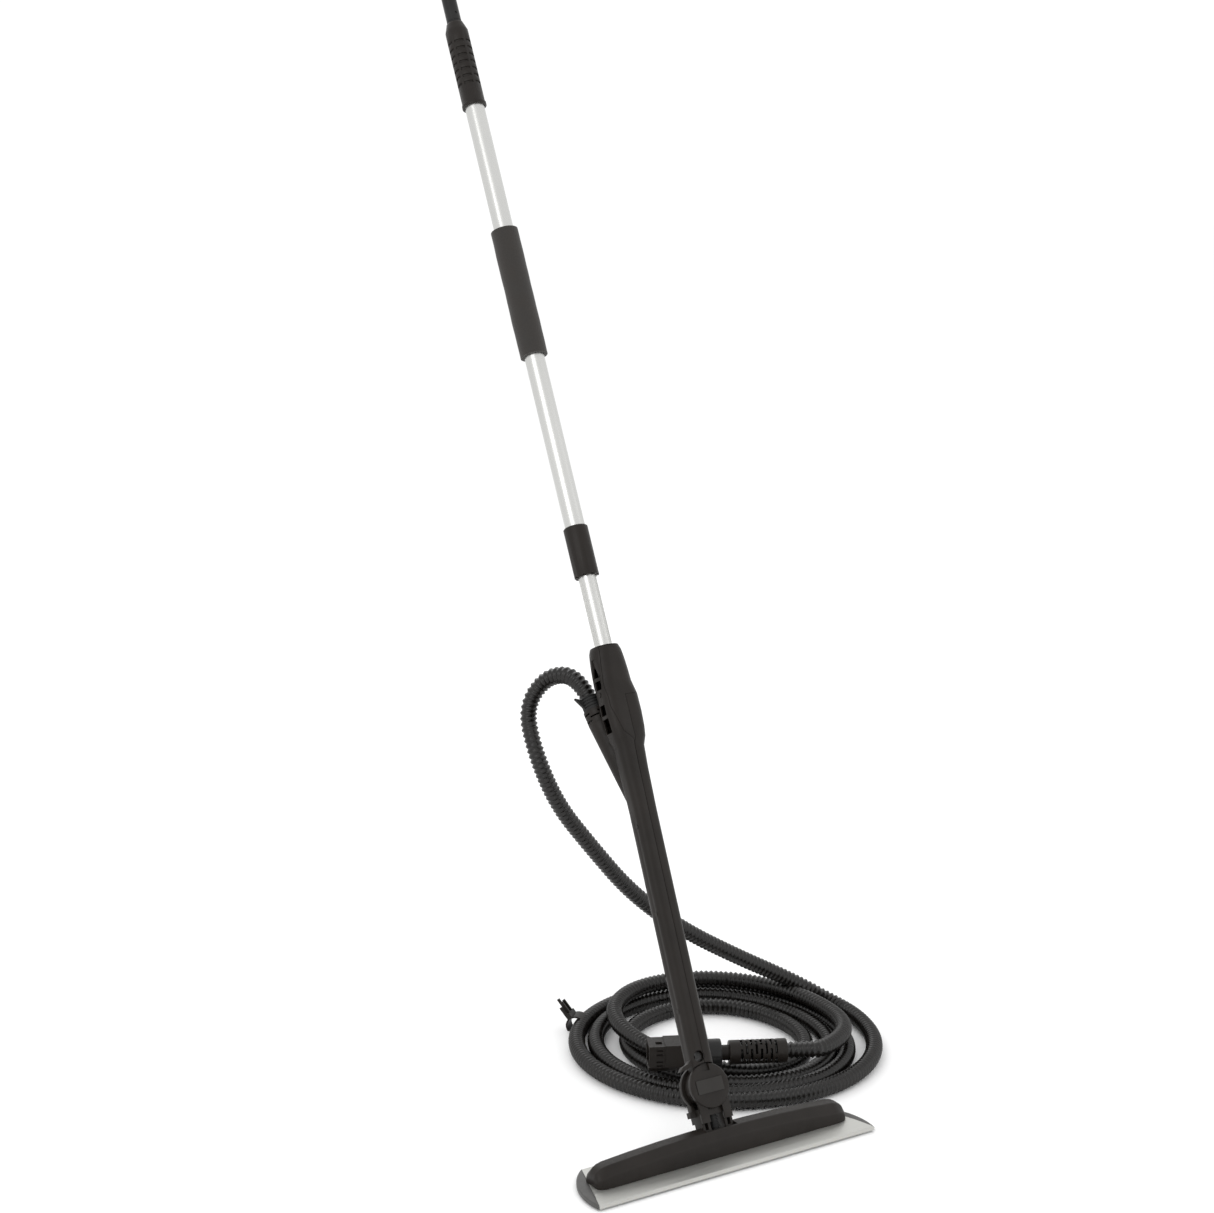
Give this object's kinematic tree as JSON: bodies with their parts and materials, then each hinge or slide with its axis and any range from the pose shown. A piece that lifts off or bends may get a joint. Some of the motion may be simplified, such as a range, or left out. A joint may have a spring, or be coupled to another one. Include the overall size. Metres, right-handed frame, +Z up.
{
  "type": "steam mop",
  "caption": "Steam mop: telescopic aluminium pole with foam grip, steam lance, swinging and tilting flat head, and a coiled steam hose with a plug.",
  "frame": {"origin": "on the floor under the middle of the mop head, on the underside of its pad", "axes": "+X along the head to its right-hand end, +Y to the rear where the lance leans and the hose lies, +Z up"},
  "size_m": [0.5923, 0.74, 1.3314],
  "materials": {
    "aluminium_tube": "smooth drawn tube, satin",
    "anodised_plate": "satin anodised extrusion",
    "black_plastic": "fine matt moulded texture",
    "gloss_black": "glossy black moulding",
    "grey_plastic": "mid grey moulding",
    "foam": "soft closed-cell foam sleeve",
    "black_rubber": "soft black moulding",
    "hose_black": "corrugated hose, slight sheen",
    "steel": "plain steel",
    "brass": "turned brass",
    "cast_bracket": "black painted casting",
    "hook_fabric": "hook tape"
  },
  "bodies": {
    "lance": {"lance_shell_left": "black_plastic", "lance_shell_right": "black_plastic", "fairing_cover": "black_plastic", "shell_screws": "black_plastic", "pivot_tongue": "black_plastic", "steam_pipe": "steel", "tube_socket": "black_plastic", "tube_screw": "steel", "inner_tube": "aluminium_tube", "tube_guide": "black_plastic", "hose_socket": "black_plastic", "hose_sleeve": "black_rubber", "hose_barb": "brass", "hose_ferrule": "steel", "hose_tube": "hose_black", "hose_coil": "hose_black", "hose_clip": "black_plastic", "connector_block": "black_plastic", "connector_pins": "brass", "connector_body": "black_plastic", "connector_collar": "gloss_black", "connector_neck": "black_plastic", "strain_relief": "black_plastic"},
    "pole": {"outer_tube": "aluminium_tube", "foam_grip": "foam", "top_grip": "black_plastic", "top_stub": "gloss_black", "collet": "black_plastic"},
    "collar": {"lock_collar": "black_plastic"},
    "neck": {"neck_yoke": "black_plastic", "disc_cap": "black_plastic", "badge_plate": "black_plastic", "pivot_bolt": "steel", "pivot_nut": "steel", "friction_washers": "steel", "steam_duct": "black_rubber", "tilt_bushes": "brass"},
    "head": {"head_plate": "anodised_plate", "end_cap_left": "grey_plastic", "end_cap_right": "grey_plastic", "bonnet": "black_plastic", "tilt_bracket": "cast_bracket", "tilt_pin": "steel", "steam_manifold": "steel", "steam_jets": "brass", "bonnet_screws": "steel", "hook_pad": "hook_fabric"}
  },
  "joints": [
    {"name": "telescope_slide", "type": "slide", "parent": "lance", "child": "pole", "axis": [0.0279, 0.4693, 0.8826], "range_m": [-0.085, 0.44]},
    {"name": "collar_twist", "type": "hinge", "parent": "pole", "child": "collar", "pos_m": [0.01787, 0.32327, 0.64289], "axis": [0.0279, 0.4693, 0.8826], "range_deg": [0, 120]},
    {"name": "lance_swing", "type": "hinge", "parent": "lance", "child": "neck", "pos_m": [0, 0.03176, 0.07333], "axis": [0, 0.8829, -0.4695], "range_deg": [-75, 75]},
    {"name": "neck_tilt", "type": "hinge", "parent": "neck", "child": "head", "pos_m": [0, 0.005, 0.023], "axis": [1, 0, 0], "range_deg": [-30, 50]}
  ]
}
